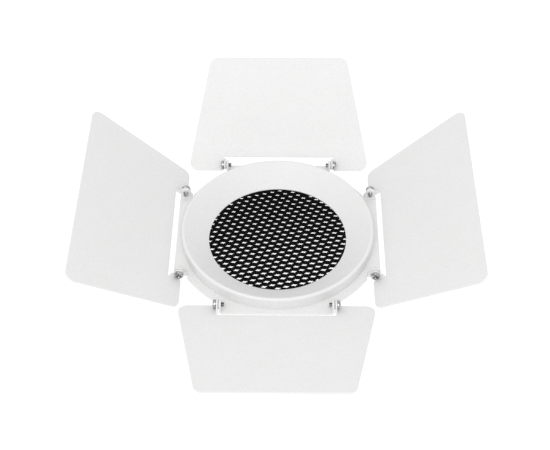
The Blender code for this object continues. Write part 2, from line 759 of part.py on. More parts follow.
def make_leaves():
    shapes = {kind: leaf_mesh(kind) for kind in ("narrow", "wide")}
    for side, (quarters, kind, angle, _) in SIDES.items():
        facing = Matrix.Rotation(math.pi / 2 * quarters, 4, "Z")
        pin = bpy.data.objects.new(f"hinge_axis_{side}", None)
        bpy.data.collections["barn_door"].objects.link(pin)
        pin.location = facing @ Vector((0, PIN_O, PIN_Z))
        pin.rotation_euler = (math.radians(angle), 0, math.pi / 2 * quarters)
        add_part(f"leaf_{side}", shapes[kind], WHITE, parent=pin)


def make_hinge_hardware():
    """On each pin: a screw from outside through the leaf's ear, tapped into the plate's ear."""
    head_u = LEAF_EAR_OUT + SMALL_GAP
    screw = screw_mesh(head_u - BASE_EAR_IN + SCREW_TIP)
    ring = [circle(WASHER_RADIUS, SCREW_STEPS), circle(SCREW_RADIUS + SCREW_CLEARANCE, SCREW_STEPS)]
    washer = prism(ring, 0, WASHER_THICKNESS)
    for side, (quarters, _, _, ends) in SIDES.items():
        facing = Matrix.Rotation(math.pi / 2 * quarters, 4, "Z")
        for end, sign in zip(ends, (-1, 1)):
            along = Matrix.Rotation(sign * math.pi / 2, 4, "Y")
            for name, mesh, finish, u in (
                ("hinge_screw", screw, ZINC, head_u),
                ("hinge_washer", washer, NYLON, WASHER_IN),
            ):
                place = facing @ Matrix.Translation((sign * u, PIN_O, PIN_Z)) @ along
                add_part(f"{name}_{side}_{end}", mesh, finish, place)


def make_assembly_screws(tip_z):
    under_flange = COLLAR_LENGTH - COLLAR_FLANGE_THICKNESS - SMALL_GAP
    screw = screw_mesh(tip_z - under_flange)
    for i in range(BOSS_COUNT):
        spin = Matrix.Rotation(BOSS_START + math.tau * i / BOSS_COUNT, 4, "Z")
        place = spin @ Matrix.Translation((BOSS_CIRCLE, 0, under_flange)) @ UPSIDE_DOWN
        add_part(f"assembly_screw_{i + 1}", screw, ZINC, place)


def main():
    clear_scene()
    new_collection("barn_door")
    new_collection("cutters")
    screw_tip_z = make_front_ring()
    make_base_plate()
    make_mounting_collar()
    make_honeycomb_core()
    make_honeycomb_frame()
    make_retaining_ring()
    make_grip_springs()
    make_leaves()
    make_hinge_hardware()
    make_assembly_screws(screw_tip_z)


main()
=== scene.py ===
"""Looks of the four-leaf barn door with a honeycomb louvre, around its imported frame.

Metres, +Z up. A hinge pin's own directions are u along the pin, o outwards and z up. A leaf is
made flat in u, v, n, with v outwards along the sheet and n off its front, and then folded.
"""

import json
import math

import bmesh
import bpy
from mathutils import Matrix, Vector


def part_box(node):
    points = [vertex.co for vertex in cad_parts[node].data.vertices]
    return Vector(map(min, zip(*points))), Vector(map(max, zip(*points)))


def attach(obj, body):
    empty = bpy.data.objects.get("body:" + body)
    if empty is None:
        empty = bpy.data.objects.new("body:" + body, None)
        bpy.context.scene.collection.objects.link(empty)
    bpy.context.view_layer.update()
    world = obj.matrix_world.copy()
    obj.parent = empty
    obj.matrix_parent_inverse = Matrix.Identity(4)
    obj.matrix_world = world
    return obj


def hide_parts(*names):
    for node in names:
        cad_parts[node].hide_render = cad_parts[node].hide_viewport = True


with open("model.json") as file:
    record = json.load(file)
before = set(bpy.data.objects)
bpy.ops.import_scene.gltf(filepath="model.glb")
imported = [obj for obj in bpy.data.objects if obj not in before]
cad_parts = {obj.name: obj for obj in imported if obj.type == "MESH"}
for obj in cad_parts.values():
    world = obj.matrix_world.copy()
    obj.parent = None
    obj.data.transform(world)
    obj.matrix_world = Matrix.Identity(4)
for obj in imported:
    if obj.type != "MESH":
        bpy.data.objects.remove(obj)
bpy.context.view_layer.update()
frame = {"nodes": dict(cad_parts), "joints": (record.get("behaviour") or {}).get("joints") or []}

# Sheet-metal pieces
SIDES = 4
SHEET = 0.0012
BEND_RADIUS = 0.0006
BEND_STEPS = 8
SHEET_EDGE = 0.00028
CORNER_RELIEF = 0.0003
HINGE_HEIGHT = 0.0039
GAP = 0.0003
BASE_EAR_REACH = 0.0045
BASE_EAR_SIDE_HEIGHT = 0.0022
BASE_EAR_RADIUS = 0.0032
BASE_EAR_HEAD_START = math.radians(130)
BASE_EAR_TO_RIM = 0.0041
PLATE_HOLE_CLEARANCE = 0.0005
EAR_STACK = 0.0006

# Leaves
LEAF_REACH = 0.0706
LEAF_SHOULDER = 0.0039
LEAF_TAPER = math.radians(11.65)
LEAF_CORNER = 0.0055
LEAF_EAR_RADIUS = 0.0027
LEAF_EAR_ROOT_IN = 0.0032
LEAF_EAR_RELIEF = 0.0006
RECESS_CORNER = 0.0003
RECESS_GAP = 0.0013
SHOULDER_TO_PLATE = 0.0012
NARROW_ROOT_BEYOND_PIN = 0.0003
WIDE_ROOT_BEYOND_PIN = -0.0020

# Front ring
REFLECTOR_RUN = 0.0169
LIP_RADIUS = 0.0013
RING_WALL = 0.0014
CONE_WALL = 0.0012
LOUVRE_SEAT_WIDTH = 0.0034
LOUVRE_SEAT_THICKNESS = 0.0006
BOSS_COUNT = 4
BOSS_RADIUS = 0.0030
BOSS_INTO_WALL = 0.0002
BOSS_BELOW_CONE = 0.0005
BOSS_FLOOR = 0.0010
BOSS_START = math.radians(45)
TURNED_EDGE = 0.0003
WALL_FOOT_GAP = 0.00003
WALL_FOOT_EDGE = 0.00008
SCREW_RADIUS = 0.00145
SCREW_CLEARANCE = 0.00015
PASS_CLEARANCE = 0.00025

# Mounting collar, louvre and springs
LOUVRE_SIDE_CLEARANCE = 0.0004
COLLAR_WALL = 0.0020
FLANGE_THICKNESS = 0.0014
GROOVE_HALF = 0.0009
GROOVE_DEPTH = 0.0006
CELL_SIDE = 0.002715
CELL_OPENING = math.radians(73.1)
FOIL = 0.00009
FOIL_FOLD = 0.00035
MITRE_LIMIT = 0.5
CORE_TURN = math.radians(15.8)
FRAME_BAND = 0.0008
FRAME_FOOT_THICKNESS = 0.0010
FRAME_LIP = 0.0006
FRAME_LIP_THICKNESS = 0.0006
FRAME_EDGE = 0.00018
RETAINER_OPENING = math.radians(24)
RETAINER_WIRE = 0.0006
RETAINER_END_SHARE = 0.02
SPRING_COUNT = 3
SPRING_START = math.radians(50)
SPRING_LENGTH = 0.0180
SPRING_FLAT = 0.0050
SPRING_THICKNESS = 0.0005
SPRING_BULGE = 0.0015
SPRING_CORNER = 0.0008
SPRING_STEPS = 40
RIVET_RADIUS = 0.0011
RIVET_HEAD_RADIUS = 0.0021
RIVET_HEAD_HEIGHT = 0.0007
RIVET_TAIL_GAP = 0.0001

# Screws and washers
HEAD_RADIUS = 0.00285
HEAD_HEIGHT = 0.0019
HEAD_CHAMFER = 0.000095
THREAD_PITCH = 0.0005
THREAD_DEPTH = 0.00028
WASHER_WAVE = 0.00008
WASHER_WAVES = 3
RECESS_ARM = 0.0015
RECESS_HALF_WIDTH = 0.00036
RECESS_DEPTH = 0.0013
RECESS_ROOT_FLARE = 1.35
RECESS_MOUTH = 1.12
RECESS_BOTTOM = 0.5
CROWN_SQUARENESS = 0.55
CROWN_STEPS = 9
CROWN_SIDE_SHARE = 0.3

# Facets
RING_STEPS = 256
SCREW_STEPS = 32
WIRE_STEPS = 16
WIRE_END_STEPS = 4
PLATE_CORNER_STEPS = 16
ROWS_PER_THREAD = 6
ARC_STEP = math.radians(7)
SHARP_EDGE = math.radians(38)
BEVELLED_EDGE = math.radians(40)
FLAT_EDGE = math.radians(0.5)
NEAR = 1e-6  # points closer than this are the same point

# Camera, round the point on the lamp's axis that it looks at
CAMERA_AZIMUTH = math.radians(0.93)
CAMERA_ELEVATION = math.radians(46.713)
CAMERA_ROLL = math.radians(-0.394)
CAMERA_DISTANCE = 0.7458
CAMERA_TARGET = (-0.00158, 0.0, 0.019756)
CAMERA_LENS = 78.38
CAMERA_SENSOR = 36

# Studio: white air and a pale floor far below, with one large soft light from the front
FLOOR_HALF = 40.0
FLOOR_DROP = 0.6
FLOOR_GLOW = 0.3
AIR = 0.9
KEY_PLACE = (-0.15, -0.97, 1.4)
KEY_SIZE = (1.2, 0.9)
KEY_POWER = 11.3

# Materials: noise scales per metre, bump heights in metres, linear colours
MIDDLE_LOW = 0.3
MIDDLE_HIGH = 0.7
COAT_TONE = 0.735
COLLAR_COAT_TONE = 0.725
COAT_GRAIN = 2300
COAT_PEEL = 520
COAT_PATCHES = 55
COAT_SHEEN = 900
COAT_BUMP = 0.00008
# Colours of the coat's grain, tied to its bump: painted shade in the hollows, the skin's own white, and
# painted highlight on the peaks
COAT_HOLLOW_SHADE = (0.88, 0.88, 0.878)
COAT_SKIN = (1.0, 1.0, 0.998)
COAT_PEAK_HIGHLIGHT = (1.04, 1.04, 1.04)
COAT_DULL = (0.985, 0.985, 0.983)
FOIL_STREAKS = 700
FOIL_SHEEN = 1500
FOIL_BUMP = 0.00003
FOIL_DARK = (0.001, 0.001, 0.0011)
FOIL_LIGHT = (0.004, 0.004, 0.0042)
METAL_MARKS = 2600
METAL_CLOUDS = 420
METAL_BUMP = 0.00002
# The zinc's dark and light colours are painted: a dark painted reflection and a bright painted highlight, in
# patches
ZINC_PAINTED_REFLECTION_DARK = (0.06, 0.06, 0.065)
ZINC_PAINTED_HIGHLIGHT = (0.62, 0.62, 0.62)
SPRING_DARK = (0.30, 0.31, 0.33)
SPRING_LIGHT = (0.46, 0.47, 0.49)
NYLON_CLOUDS = 700
NYLON_SHEEN = 2400
NYLON_BUMP = 0.00002
NYLON_DARK = (0.68, 0.68, 0.65)
NYLON_LIGHT = (0.78, 0.78, 0.75)
PAPER_GRAIN = 30
PAPER_DARK = (0.79, 0.79, 0.79)
PAPER_LIGHT = (0.81, 0.81, 0.81)
PURE_WHITE = (1.0, 1.0, 1.0)

NODES = frame["nodes"]
JOINTS = {joint["name"]: joint for joint in frame["joints"]}
LEAVES = {"top": "narrow", "left": "wide", "bottom": "narrow", "right": "wide"}


def node_box(name):
    low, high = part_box(name)
    return Vector(low), Vector(high)


RING_LOW, RING_HIGH = node_box("front_ring")
PLATE_LOW, PLATE_HIGH = node_box("base_plate")
COLLAR_LOW, COLLAR_HIGH = node_box("mounting_collar")
CORE_LOW, CORE_HIGH = node_box("honeycomb_core")
HOOP_LOW, HOOP_HIGH = node_box("honeycomb_frame")
SCREW_LOW, SCREW_HIGH = node_box("hinge_screw_top_right")
WASHER_LOW, WASHER_HIGH = node_box("hinge_washer_top_right")

RIM_RADIUS = RING_HIGH.x
RIM_TOP = RING_HIGH.z
SEAT_BOTTOM = RING_LOW.z
APERTURE_RADIUS = RIM_RADIUS - REFLECTOR_RUN
CONE_BOTTOM = SEAT_BOTTOM + LOUVRE_SEAT_THICKNESS
PLATE_BOTTOM = PLATE_LOW.z
PLATE_TOP = PLATE_BOTTOM + SHEET
WALL_FOOT = PLATE_TOP + WALL_FOOT_GAP
PIN_O = JOINTS["leaf_top_hinge"]["pos_m"][1]
PIN_Z = JOINTS["leaf_top_hinge"]["pos_m"][2]
PLATE_EDGE = PLATE_HIGH.x
RING_INNER = RIM_RADIUS - RING_WALL
BOSS_CIRCLE = RING_INNER + BOSS_INTO_WALL - BOSS_RADIUS
BASE_EAR_O = PIN_O - BASE_EAR_REACH
BASE_EAR_IN = math.sqrt((RIM_RADIUS + BASE_EAR_TO_RIM) ** 2 - BASE_EAR_O**2)
LEAF_EAR_OUT = BASE_EAR_IN + SHEET + EAR_STACK + SHEET
RECESS_HALF = LEAF_EAR_OUT + BEND_RADIUS
RECESS_EDGE = PLATE_EDGE - PIN_O + RECESS_GAP
LEAF_EAR_ROOT_OUT = RECESS_EDGE - LEAF_EAR_RELIEF
PLATE_RADIUS = math.hypot(RECESS_HALF, PIN_O - LEAF_SHOULDER) - SHOULDER_TO_PLATE
COLLAR_IN = HOOP_HIGH.x + LOUVRE_SIDE_CLEARANCE
COLLAR_OUT = COLLAR_IN + COLLAR_WALL
SPRING_LOW, SPRING_HIGH = node_box("grip_spring_1")
SPRING_CIRCLE = COLLAR_OUT + GAP + SPRING_THICKNESS / 2
RIVET_Z = (SPRING_LOW.z + SPRING_HIGH.z) / 2
RIVET_START = SPRING_START + SPRING_FLAT / 2 / SPRING_CIRCLE
ALONG_X = Matrix(((0, 0, 1, 0), (1, 0, 0, 0), (0, 1, 0, 0), (0, 0, 0, 1)))
TO_HEAD = Matrix.Translation((0, 0, -HEAD_HEIGHT))


# Outlines and profiles


def arc(centre, radius, start, end, steps=None):
    """Points of an arc, ends included, spaced by ARC_STEP unless a count is given."""
    steps = steps or max(2, math.ceil(abs(end - start) / ARC_STEP))
    turns = [start + (end - start) * i / steps for i in range(steps + 1)]
    return [(centre[0] + radius * math.cos(t), centre[1] + radius * math.sin(t)) for t in turns]


def circle(radius, steps, centre=(0, 0)):
    return arc(centre, radius, 0, math.tau, steps)[:-1]


def rounded(corners):
    """The outline through corners (x, y, radius), each replaced by an arc of its radius."""
    outline = []
    for i, (x, y, radius) in enumerate(corners):
        corner = Vector((x, y))
        if radius == 0:
            outline.append((x, y))
            continue
        back = (Vector(corners[i - 1][:2]) - corner).normalized()
        on = (Vector(corners[(i + 1) % len(corners)][:2]) - corner).normalized()
        half = back.angle(on) / 2
        centre = corner + (back + on).normalized() * radius / math.sin(half)
        first = corner + back * radius / math.tan(half) - centre
        last = corner + on * radius / math.tan(half) - centre
        start = math.atan2(first.y, first.x)
        turn = (math.atan2(last.y, last.x) - start + math.pi) % math.tau - math.pi
        outline += arc(centre, radius, start, start + turn)
    return outline


def edged(points, radius):
    """Profile points given the same corner radius."""
    return [(x, y, radius) for x, y in points]


# Meshes


def finish_mesh(shape, name, matrix=None):
    """A bmesh made a smooth-shaded mesh, welded and facing out."""
    bmesh.ops.remove_doubles(shape, verts=shape.verts, dist=NEAR)
    if matrix:
        shape.transform(matrix)
    bmesh.ops.recalc_face_normals(shape, faces=shape.faces)
    mesh = bpy.data.meshes.new(name)
    shape.to_mesh(mesh)
    shape.free()
    return smooth(mesh)


def smooth(mesh):
    mesh.shade_smooth()
    mesh.set_sharp_from_angle(angle=SHARP_EDGE)
    return mesh


def prism(outlines, low, high, matrix=None):
    """A flat outline with its holes, extruded from low to high and then placed."""
    curve = bpy.data.curves.new("outline", "CURVE")
    curve.dimensions = "2D"
    curve.fill_mode = "BOTH"
    curve.extrude = (high - low) / 2
    for outline in outlines:
        spline = curve.splines.new("POLY")
        spline.points.add(len(outline) - 1)
        for point, (x, y) in zip(spline.points, outline):
            point.co = (x, y, 0, 1)
        spline.use_cyclic_u = True
    item = bpy.data.objects.new("outline", curve)
    bpy.context.scene.collection.objects.link(item)
    bpy.context.view_layer.update()
    shape = bmesh.new()
    shape.from_mesh(item.evaluated_get(bpy.context.evaluated_depsgraph_get()).to_mesh())
    bpy.data.objects.remove(item, do_unlink=True)
    bpy.data.curves.remove(curve)
    lift = Matrix.Translation((0, 0, (low + high) / 2))
    return finish_mesh(shape, "prism", matrix @ lift if matrix else lift)


def turned(profile, steps, phase=None):
    """A profile turned about Z: points (radius, z), closed on itself or from axis to axis.

    phase(turn, radius, z) may give another radius, as for a thread.
    """
    shape = bmesh.new()
    rings = []
    for radius, z in profile:
        if radius == 0:
            rings.append([shape.verts.new((0, 0, z))] * steps)
            continue
        ring = []
        for i in range(steps):
            turn = math.tau * i / steps
            r = phase(turn, radius, z) if phase else radius
            ring.append(shape.verts.new((r * math.cos(turn), r * math.sin(turn), z)))
        rings.append(ring)
    if profile[0][0] > 0:
        rings.append(rings[0])
    for upper, lower in zip(rings, rings[1:]):
        for i in range(steps):
            corners = [upper[i], upper[(i + 1) % steps], lower[(i + 1) % steps], lower[i]]
            shape.faces.new(list(dict.fromkeys(corners)))
    return finish_mesh(shape, "turned")


def joined(meshes_and_places):
    shape = bmesh.new()
    for mesh, matrix in meshes_and_places:
        start = len(shape.verts)
        shape.from_mesh(mesh)
        shape.verts.ensure_lookup_table()
        bmesh.ops.transform(shape, matrix=matrix, verts=shape.verts[start:])
    return finish_mesh(shape, "joined")


def boolean(first, second, operation):
    """The result of one exact Boolean between two meshes."""
    pair = [bpy.data.objects.new("operand", mesh) for mesh in (first, second)]
    for item in pair:
        bpy.context.scene.collection.objects.link(item)
    modifier = pair[0].modifiers.new("cut", "BOOLEAN")
    modifier.operation = operation
    modifier.object = pair[1]
    modifier.solver = "EXACT"
    bpy.context.view_layer.update()
    result = bpy.data.meshes.new_from_object(pair[0].evaluated_get(bpy.context.evaluated_depsgraph_get()))
    for item in pair:
        bpy.data.objects.remove(item, do_unlink=True)
    return smooth(result)


def bevelled(mesh, width, segments=3):
    """The mesh with each sharp edge rounded by its own width."""
    shape = bmesh.new()
    shape.from_mesh(mesh)
    bmesh.ops.remove_doubles(shape, verts=shape.verts, dist=NEAR)
    bmesh.ops.dissolve_limit(
        shape, angle_limit=FLAT_EDGE, verts=shape.verts, edges=shape.edges, delimit=set()
    )
    sharp = [
        edge
        for edge in shape.edges
        if len(edge.link_faces) == 2 and edge.calc_face_angle() > BEVELLED_EDGE
    ]
    bmesh.ops.bevel(
        shape, geom=sharp, offset=width, segments=segments, profile=0.5, affect="EDGES", clamp_overlap=False
    )
    return finish_mesh(shape, "bevelled")


def around(mesh, count, radius, start=0.0):
    return [
        (mesh, Matrix.Rotation(start + math.tau * i / count, 4, "Z") @ Matrix.Translation((radius, 0, 0)))
        for i in range(count)
    ]


# Folding


def fold_radius():
    """Radius of the middle of the sheet around a bend."""
    return BEND_RADIUS + SHEET / 2


def folded_length(height):
    """Length of sheet from the start of a fold to a height above the flat sheet's front face."""
    return fold_radius() * math.pi / 2 + height - BEND_RADIUS


def fold_up(mesh, to_ear, low, high, length, front):
    """Folds an ear of a flat blank up by a right angle.

    In the ear's frame, which the matrix to_ear leads to, the ear leaves the blank at x = 0 and
    ends before x = length, between y = low and y = high, and the sheet's front is at z = front.
    """
    radius = fold_radius()
    shape = bmesh.new()
    shape.from_mesh(mesh)
    shape.transform(to_ear)

    def in_ear(vertex):
        return NEAR < vertex.co.x < length and low - NEAR < vertex.co.y < high + NEAR

    for step in range(BEND_STEPS + 1):
        faces = [face for face in shape.faces if any(in_ear(vertex) for vertex in face.verts)]
        edges = {edge for face in faces for edge in face.edges}
        verts = {vertex for face in faces for vertex in face.verts}
        bmesh.ops.bisect_plane(
            shape,
            geom=[*faces, *edges, *verts],
            dist=NEAR,
            plane_co=(radius * math.pi / 2 * step / BEND_STEPS, 0, 0),
            plane_no=(1, 0, 0),
        )
    for vertex in shape.verts:
        if not in_ear(vertex):
            continue
        angle = min(vertex.co.x / radius, math.pi / 2)
        straight = vertex.co.x - radius * angle
        arm = radius - (vertex.co.z - front + SHEET / 2)
        vertex.co.x = arm * math.sin(angle)
        vertex.co.z = front + BEND_RADIUS - arm * math.cos(angle) + straight
    return finish_mesh(shape, "folded", to_ear.inverted())


# Pieces


def add_piece(name, mesh, finish, body, node, matrix=None):
    """A visible piece that stands for a CAD node and rides on its body."""
    mesh.name = name
    piece = bpy.data.objects.new(name, mesh)
    bpy.context.scene.collection.objects.link(piece)
    piece.matrix_world = matrix or Matrix.Identity(4)
    mesh.materials.clear()
    mesh.materials.append(finish)
    weighted = piece.modifiers.new("flat faces", "WEIGHTED_NORMAL")
    weighted.keep_sharp = True
    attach(piece, body)
    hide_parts(node)
    return piece


def cone_tangent():
    """Where the cone's inside meets the lip's arc, as the arc's angle, and the cone's slope."""
    run = RIM_RADIUS - LIP_RADIUS - APERTURE_RADIUS
    rise = RIM_TOP - LIP_RADIUS - CONE_BOTTOM
    slope = math.atan2(rise, run) + math.asin(LIP_RADIUS / math.hypot(run, rise))
    return slope + math.pi / 2, slope


def cone_under_z(radius):
    slope = cone_tangent()[1]
    return CONE_BOTTOM + (radius - APERTURE_RADIUS) * math.tan(slope) - CONE_WALL / math.cos(slope)


def cone_under_r(height):
    slope = cone_tangent()[1]
    return APERTURE_RADIUS + (height - CONE_BOTTOM + CONE_WALL / math.cos(slope)) / math.tan(slope)


def ring_mesh():
    """The spun dish: lip, outer wall, cone and louvre seat, with four tapped bosses behind it."""
    lip_angle, slope = cone_tangent()
    seat_out = APERTURE_RADIUS + LOUVRE_SEAT_WIDTH
    lip = arc((RIM_RADIUS - LIP_RADIUS, RIM_TOP - LIP_RADIUS), LIP_RADIUS, lip_angle, 0)
    inner = [
        (RIM_RADIUS, WALL_FOOT, WALL_FOOT_EDGE),
        (RING_INNER, WALL_FOOT, WALL_FOOT_EDGE),
        (RING_INNER, cone_under_z(RING_INNER), 0),
        (seat_out, cone_under_z(seat_out), 0),
        (seat_out, SEAT_BOTTOM, TURNED_EDGE / 2),
        (APERTURE_RADIUS, SEAT_BOTTOM, TURNED_EDGE / 2),
        (APERTURE_RADIUS, CONE_BOTTOM, TURNED_EDGE),
    ]
    ring = turned(rounded([*edged(lip, 0), *inner]), RING_STEPS)
    boss_top = cone_under_z(BOSS_CIRCLE - BOSS_RADIUS) + CONE_WALL / math.cos(slope) - BOSS_BELOW_CONE
    hole = circle(SCREW_RADIUS, SCREW_STEPS)
    hole_top = boss_top - BOSS_FLOOR
    boss = prism([circle(BOSS_RADIUS, SCREW_STEPS)], WALL_FOOT, boss_top)
    drill = prism([hole], WALL_FOOT - GAP, hole_top)
    ring = boolean(ring, joined(around(boss, BOSS_COUNT, BOSS_CIRCLE, BOSS_START)), "UNION")
    return boolean(ring, joined(around(drill, BOSS_COUNT, BOSS_CIRCLE, BOSS_START)), "DIFFERENCE")


def base_ear_outline():
    """The flat outline of the +Y side's ear at its +u end, from its inner to its outer side."""
    root = BASE_EAR_IN - BEND_RADIUS
    head = arc((PIN_O, HINGE_HEIGHT), BASE_EAR_RADIUS, BASE_EAR_HEAD_START, 0)
    side = [(BASE_EAR_O, BASE_EAR_SIDE_HEIGHT), *head]
    raised = [(root + folded_length(height), o) for o, height in side]
    return [(root, BASE_EAR_O), *raised, (root, PLATE_EDGE)]


def plate_outline():
    """Corner arcs about the lamp's axis, joined by a tab with two flat ears on each side."""
    relief_o = BASE_EAR_O - CORNER_RELIEF
    relief_u = math.sqrt(PLATE_RADIUS**2 - relief_o**2)
    root = BASE_EAR_IN - BEND_RADIUS
    half = [(relief_u, relief_o), (root, relief_o), *base_ear_outline()]
    start = math.atan2(relief_o, -relief_u)
    end = math.atan2(relief_u, -relief_o)
    corner = arc((0, 0), PLATE_RADIUS, start, end, PLATE_CORNER_STEPS)[1:-1]
    side = [*half, *[(-u, o) for u, o in reversed(half)], *corner]
    outline = []
    for i in range(SIDES):
        place = Matrix.Rotation(math.tau * i / SIDES, 2)
        outline += [tuple(place @ Vector(point)) for point in side]
    return outline


def plate_mesh():
    opening = circle(cone_under_r(PLATE_TOP) + PLATE_HOLE_CLEARANCE, RING_STEPS)
    holes = []
    for i in range(BOSS_COUNT):
        angle = BOSS_START + math.tau * i / BOSS_COUNT
        centre = (BOSS_CIRCLE * math.cos(angle), BOSS_CIRCLE * math.sin(angle))
        holes.append(circle(SCREW_RADIUS + PASS_CLEARANCE, SCREW_STEPS, centre))
    root = BASE_EAR_IN - BEND_RADIUS
    ears = []
    for i in range(SIDES):
        for mirror in (Matrix.Identity(2), Matrix.Diagonal((-1, 1))):
            place = Matrix.Rotation(math.tau * i / SIDES, 2) @ mirror
            pin = place @ Vector((root + folded_length(HINGE_HEIGHT), PIN_O))
            holes.append(circle(SCREW_RADIUS, SCREW_STEPS, pin))
            ears.append(Matrix.Translation((-root, 0, 0)) @ place.to_4x4().inverted())
    sheet = prism([plate_outline(), opening, *holes], PLATE_BOTTOM, PLATE_TOP)
    length = folded_length(HINGE_HEIGHT + BASE_EAR_RADIUS) + GAP
    for to_ear in ears:
        sheet = fold_up(sheet, to_ear, BASE_EAR_O, PLATE_EDGE, length, PLATE_TOP)
    return bevelled(sheet, SHEET_EDGE)


def leaf_outline(kind):
    """The flat outline of a leaf: a tapered sheet whose root has a recess between two flat ears."""
    change = (LEAF_REACH + LEAF_SHOULDER) * math.tan(LEAF_TAPER)
    root = PIN_O + (NARROW_ROOT_BEYOND_PIN if kind == "narrow" else WIDE_ROOT_BEYOND_PIN)
    tip = root - change if kind == "narrow" else root + change
    head = arc((0, HINGE_HEIGHT), LEAF_EAR_RADIUS, 0, math.pi)
    half = [
        (RECESS_HALF, RECESS_EDGE, RECESS_CORNER),
        (RECESS_HALF, LEAF_EAR_ROOT_OUT, 0),
        *[(RECESS_HALF - folded_length(height), v, 0) for v, height in head],
        (RECESS_HALF, -LEAF_EAR_ROOT_IN, 0),
        (RECESS_HALF, -LEAF_SHOULDER, RECESS_CORNER),
        (root, -LEAF_SHOULDER, LEAF_CORNER),
        (tip, LEAF_REACH, LEAF_CORNER),
    ]
    return rounded([*half, *[(-u, v, radius) for u, v, radius in reversed(half)]])


def leaf_mesh(kind):
    """A leaf in its own frame, with the hinge pin along u through its origin."""
    front = -HINGE_HEIGHT
    pin = RECESS_HALF - folded_length(HINGE_HEIGHT)
    hole = SCREW_RADIUS + SCREW_CLEARANCE
    holes = [circle(hole, SCREW_STEPS, (side * pin, 0)) for side in (1, -1)]
    sheet = prism([leaf_outline(kind), *holes], front - SHEET, front)
    length = folded_length(HINGE_HEIGHT + LEAF_EAR_RADIUS) + GAP
    for side in (1, -1):
        to_ear = Matrix.Translation((RECESS_HALF, 0, 0)) @ Matrix.Diagonal((-side, 1, 1, 1))
        sheet = fold_up(sheet, to_ear, -LEAF_EAR_ROOT_IN, LEAF_EAR_ROOT_OUT, length, front)
    return bevelled(sheet, SHEET_EDGE)


def leaf_matrix(side):
    """The leaf's place: its joint's lower limit is where it lies flat."""
    joint = JOINTS[f"leaf_{side}_hinge"]
    along = Vector(joint["axis"])
    up = Vector((0, 0, 1))
    turn = Matrix.Rotation(-math.radians(joint["range_deg"][0]), 4, along)
    axes = [(turn @ axis.to_4d()).to_3d() for axis in (along, up.cross(along), up)]
    return Matrix.Translation(joint["pos_m"]) @ Matrix(axes).transposed().to_4x4()


def collar_mesh():
    wire_z = HOOP_LOW.z - GAP - RETAINER_WIRE
    groove_out = COLLAR_IN + GROOVE_DEPTH
    under = COLLAR_HIGH.z - FLANGE_THICKNESS
    flange_out = COLLAR_HIGH.x
    profile = rounded(
        [
            (flange_out, COLLAR_HIGH.z, TURNED_EDGE),
            (flange_out, under, TURNED_EDGE),
            (COLLAR_OUT, under, TURNED_EDGE * 2),
            (COLLAR_OUT, COLLAR_LOW.z, TURNED_EDGE * 2),
            (COLLAR_IN, COLLAR_LOW.z, TURNED_EDGE * 2),
            (COLLAR_IN, wire_z - GROOVE_HALF, TURNED_EDGE / 2),
            (groove_out, wire_z - GROOVE_HALF, TURNED_EDGE / 2),
            (groove_out, wire_z + GROOVE_HALF, TURNED_EDGE / 2),
            (COLLAR_IN, wire_z + GROOVE_HALF, TURNED_EDGE / 2),
            (COLLAR_IN, COLLAR_HIGH.z, TURNED_EDGE),
        ]
    )
    collar = turned(profile, RING_STEPS)
    hole = circle(SCREW_RADIUS + PASS_CLEARANCE, SCREW_STEPS)
    drill = prism([hole], under - FLANGE_THICKNESS, COLLAR_HIGH.z + GAP)
    collar = boolean(collar, joined(around(drill, BOSS_COUNT, BOSS_CIRCLE, BOSS_START)), "DIFFERENCE")
    radial = prism(
        [circle(RIVET_RADIUS, SCREW_STEPS, (0, RIVET_Z))],
        COLLAR_IN - COLLAR_WALL,
        COLLAR_OUT + COLLAR_WALL,
        ALONG_X,
    )
    return boolean(collar, joined(around(radial, SPRING_COUNT, 0, RIVET_START)), "DIFFERENCE")


def foil_path(column, reach):
    """One ribbon's folds, with each corner rounded: it steps between x = 0 and x = 1 half widths."""
    half_width = CELL_SIDE * math.sin(CELL_OPENING)
    lean = CELL_SIDE * math.cos(CELL_OPENING)
    row = CELL_SIDE + lean
    count = math.ceil(reach / row) + 1
    points = []
    for j in range(-count, count + 1):
        side = (j + column) % 2
        x = (column + side) * half_width + (FOIL / 2 if side == 0 else -FOIL / 2)
        y = j * row
        points += [(x, y - CELL_SIDE / 2), (x, y + CELL_SIDE / 2)]
    softened = []
    for i in range(1, len(points) - 1):
        corner = Vector(points[i])
        for other in (points[i - 1], points[i + 1]):
            softened.append(tuple(corner + (Vector(other) - corner).normalized() * FOIL_FOLD))
    return softened


def inside_circle(points, radius):
    """The stretch of a ribbon inside a circle, cut off where it meets it."""
    kept = []
    for first, second in zip(points, points[1:]):
        a, b = Vector(first), Vector(second)
        step = b - a
        square = step.dot(step)
        middle = -a.dot(step) / square
        room = middle**2 - (a.dot(a) - radius**2) / square
        if room <= 0:
            continue
        start, end = middle - math.sqrt(room), middle + math.sqrt(room)
        start, end = max(0, start), min(1, end)
        if end - start > NEAR:
            kept += [tuple(a + step * start), tuple(a + step * end)]
    return list(dict.fromkeys(kept))


def core_mesh():
    """Corrugated foil ribbons, bonded where they touch, cut to the round of the frame."""
    radius = CORE_HIGH.x
    half_width = CELL_SIDE * math.sin(CELL_OPENING)
    columns = math.ceil(radius / half_width) + 1
    shape = bmesh.new()
    for column in range(-columns, columns + 1):
        path = inside_circle(foil_path(column, radius), radius)
        if len(path) < 2:
            continue
        loops = []
        for side in (-FOIL / 2, FOIL / 2):
            for z in (CORE_LOW.z, CORE_HIGH.z):
                loops.append([shape.verts.new((*point, z)) for point in offset_path(path, side)])
        left_low, left_high, right_low, right_high = loops
        for one, other in (
            (left_low, left_high),
            (left_high, right_high),
            (right_high, right_low),
            (right_low, left_low),
        ):
            for i in range(len(path) - 1):
                shape.faces.new((one[i], one[i + 1], other[i + 1], other[i]))
        for end in (0, -1):
            shape.faces.new((left_low[end], left_high[end], right_high[end], right_low[end]))
    return finish_mesh(shape, "ribbons", Matrix.Rotation(CORE_TURN, 4, "Z"))


